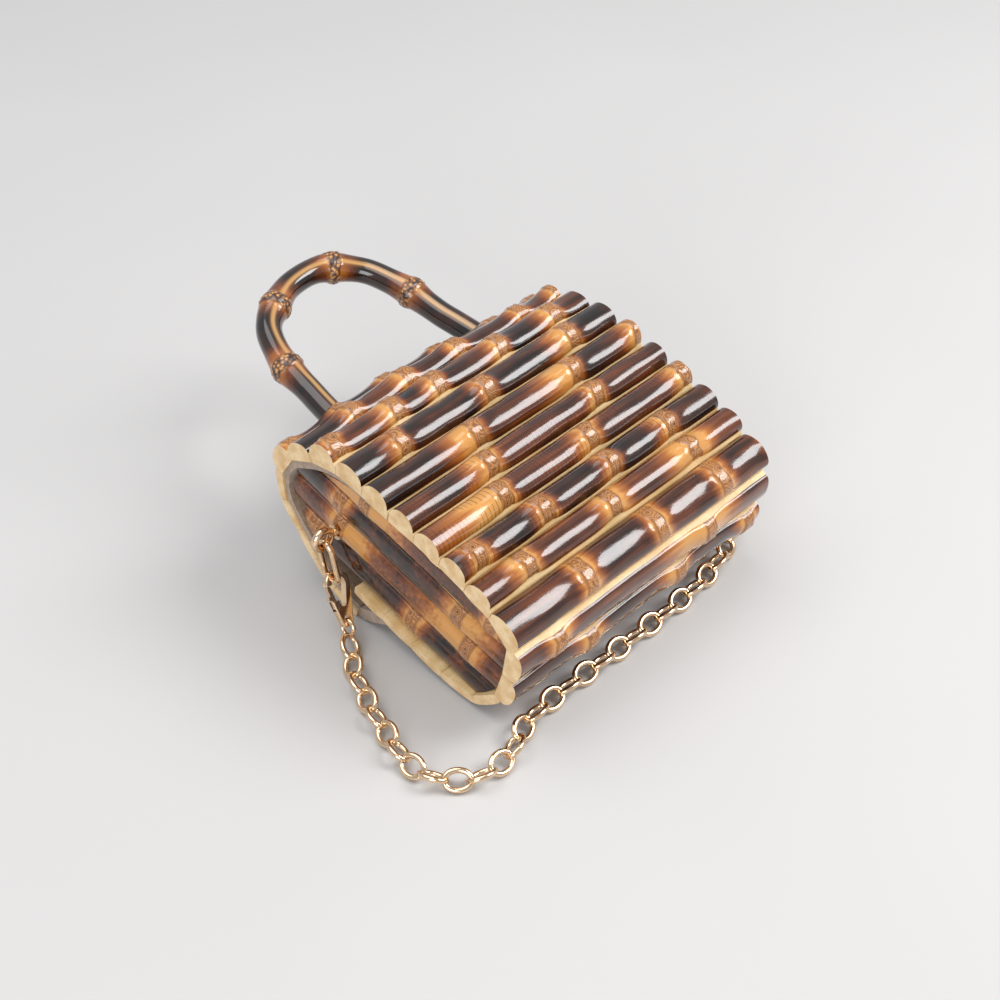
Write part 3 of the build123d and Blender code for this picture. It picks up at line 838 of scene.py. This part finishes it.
# %% Metal
def metal(title, light, dark, roughness):
    material, tree, shader = new_material(title)
    smears = texture(tree, "ShaderNodeTexNoise", stretched(tree, (1, 1, 1)), Scale=160.0, Detail=4.0)
    link(tree, ramp(tree, smears.outputs["Fac"], [(0.3, dark), (0.7, light)]), shader.inputs["Base Color"])
    shader.inputs["Metallic"].default_value = 1.0
    link(tree, maths(tree, "MULTIPLY_ADD", smears.outputs["Fac"], 0.1), shader.inputs["Roughness"])
    tree.nodes[-1].inputs[2].default_value = roughness
    bump(tree, shader, smears.outputs["Fac"], 0.1, 0.0003)
    return material


GILT = metal("Gilt plate", (0.88, 0.67, 0.46), (0.78, 0.55, 0.34), 0.08)
STEEL = metal("Zinc plate", (0.62, 0.62, 0.64), (0.5, 0.5, 0.52), 0.25)
for side in ("left", "right"):
    for node in ("screw_eye", "oval_link", "clasp", "gate", "end_ring"):
        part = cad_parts[f"{node}_{side}"]
        part.data.materials.clear()
        part.data.materials.append(GILT)
    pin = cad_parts[f"gate_pin_{side}"]
    pin.data.materials.clear()
    pin.data.materials.append(STEEL)
for node in ("handle_screws", "magnets_body", "magnets_lid"):
    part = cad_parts[node]
    part.data.materials.clear()
    part.data.materials.append(STEEL)

# %% [markdown]
# ## The chain
# The chain is a free cord of linked rings. Its route is a NURBS curve through the CAD tube's corner
# points, and the links follow points read from that curve, each turned against the next.

# %% Chain route
CHAIN_CORNERS = [
    (-100.18, -25.97, 6.95),
    (-109.5, -37, 4.6),
    (-119.5, -59, 4.6),
    (-127.5, -84, 4.6),
    (-133, -107, 4.6),
    (-120.8, -127.6, 4.6),
    (-98.2, -131.5, 4.6),
    (-78.5, -121, 4.6),
    (-55.5, -119.2, 4.6),
    (-33.5, -119.6, 4.6),
    (-11, -119.8, 4.6),
    (12, -119.8, 4.6),
    (34, -119.4, 4.6),
    (55, -117.6, 4.6),
    (78.5, -111, 4.6),
    (100, -96.4, 4.6),
    (114, -78, 4.6),
    (117, -56, 4.6),
    (110.5, -37, 4.6),
    (100.18, -25.97, 6.95),
]
route = bpy.data.curves.new("chain_route", "CURVE")
route.dimensions = "3D"
spline = route.splines.new("NURBS")
spline.points.add(len(CHAIN_CORNERS) - 1)
for point, corner in zip(spline.points, CHAIN_CORNERS):
    point.co = (*(Vector(corner) * MM), 1)
spline.order_u = 3
spline.use_endpoint_u = True
spline.resolution_u = 24
route_object = bpy.data.objects.new("chain_route", route)
bpy.context.scene.collection.objects.link(route_object)
bpy.context.view_layer.update()
route_mesh = bpy.data.meshes.new_from_object(route_object)
route_points = [vertex.co.copy() for vertex in route_mesh.vertices]
bpy.data.objects.remove(route_object)
chain_length = sum((second - first).length for first, second in zip(route_points, route_points[1:]))
print("chain length", round(chain_length, 4), "m")

# %% Chain links
LINK_LENGTH = 15.6
LINK_WIDTH = 12.0
LINK_WIRE = 1.45
LINK_PITCH = 11.0
LINK_ROLL = math.radians(38)


def point_on_route(distance):
    """Point and direction at a distance along the chain."""
    for first, second in zip(route_points, route_points[1:]):
        step = (second - first).length
        if distance <= step:
            return first.lerp(second, distance / step), (second - first).normalized()
        distance -= step
    return route_points[-1], (route_points[-1] - route_points[-2]).normalized()


def add_link(shape, centre, ahead, roll):
    """One oval link: a grid bent into a ring of wire."""
    fresh = bmesh.ops.create_grid(shape, x_segments=30, y_segments=8, size=1)["verts"]
    level = Vector((0, 0, 1)).cross(ahead).normalized()
    upright = ahead.cross(level)
    across = level * math.cos(roll) + upright * math.sin(roll)
    normal = ahead.cross(across)
    half_length = (LINK_LENGTH / 2 - LINK_WIRE) * MM
    half_width = (LINK_WIDTH / 2 - LINK_WIRE) * MM
    for vertex in fresh:
        turn, wrap = math.pi * (vertex.co.x + 1), math.pi * (vertex.co.y + 1)
        spine = ahead * math.cos(turn) * half_length + across * math.sin(turn) * half_width
        outward = (ahead * math.cos(turn) * half_width + across * math.sin(turn) * half_length).normalized()
        wire = outward * math.cos(wrap) + normal * math.sin(wrap)
        vertex.co = centre + spine + wire * LINK_WIRE * MM
    bmesh.ops.remove_doubles(shape, verts=fresh, dist=1e-6)


links = bmesh.new()
link_count = round((chain_length / MM - 6) / LINK_PITCH)
for number in range(link_count):
    share = (number + 0.5) / link_count
    centre, ahead = point_on_route(chain_length * share)
    add_link(links, centre, ahead, LINK_ROLL if number % 2 else -LINK_ROLL)
bmesh.ops.recalc_face_normals(links, faces=links.faces)
for face in links.faces:
    face.smooth = True
chain = finished("chain_links", links)
chain.data.materials.append(GILT)
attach(chain, "body")
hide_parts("chain")
print("chain links", link_count)

# %% [markdown]
# ## Floor, light and camera
# A plain pale floor, a broad soft light overhead and a camera that looks down on the bag.

# %% Floor
floor_shape = bmesh.new()
bmesh.ops.create_grid(floor_shape, x_segments=1, y_segments=1, size=4.0)
floor = finished("floor", floor_shape)
floor_material, floor_tree, floor_shader = new_material("Pale floor")
floor_grain = texture(floor_tree, "ShaderNodeTexNoise", stretched(floor_tree, (3, 3, 3)), Scale=1.0, Detail=2.0)
link(
    floor_tree,
    ramp(floor_tree, floor_grain.outputs["Fac"], [(0.3, (0.50, 0.49, 0.48)), (0.7, (0.52, 0.51, 0.50))]),
    floor_shader.inputs["Base Color"],
)
floor_shader.inputs["Roughness"].default_value = 0.6
floor.data.materials.append(floor_material)


# %% Lights
def soft_box(title, place, target, size, power, colour=(1, 1, 1)):
    light = bpy.data.lights.new(title, "AREA")
    light.shape = "RECTANGLE"
    light.size, light.size_y = size
    light.energy = power
    light.color = colour
    lamp = bpy.data.objects.new(title, light)
    lamp.location = place
    lamp.rotation_euler = (Vector(target) - Vector(place)).to_track_quat("-Z", "Y").to_euler()
    bpy.context.scene.collection.objects.link(lamp)


soft_box("key_light", (0.85, -0.75, 1.25), (0, 0, 0.05), (0.75, 1.0), 23)
soft_box("top_light", (-0.3, 0.5, 1.6), (0, 0, 0.05), (1.4, 1.4), 14)
soft_box("side_light", (-1.3, -0.7, 0.7), (0, 0, 0.05), (0.8, 0.8), 10)

world = bpy.data.worlds.new("studio")
world.use_nodes = True
world.node_tree.nodes["Background"].inputs["Color"].default_value = (0.93, 0.95, 1.0, 1)
world.node_tree.nodes["Background"].inputs["Strength"].default_value = 0.55
bpy.context.scene.world = world
bpy.context.scene.view_settings.view_transform = "Standard"

# %% Camera
LENS = 68.4
CAMERA_PLACE = Vector((-484.7, -515.5, 673.3)) * MM
RIGHT = Vector((0.7101, -0.7041, 0.0)).normalized()
FORWARD = Vector((0.515, 0.519, -0.682)).normalized()
CAMERA_UP = RIGHT.cross(FORWARD).normalized()
camera_data = bpy.data.cameras.new("camera")
camera_data.lens = LENS
camera_data.sensor_width = 36
camera_data.clip_start = 0.05
camera = bpy.data.objects.new("camera", camera_data)
turned = Matrix((RIGHT, CAMERA_UP, -FORWARD)).transposed().to_4x4()
camera.matrix_world = Matrix.Translation(CAMERA_PLACE) @ turned
bpy.context.scene.collection.objects.link(camera)
bpy.context.scene.camera = camera
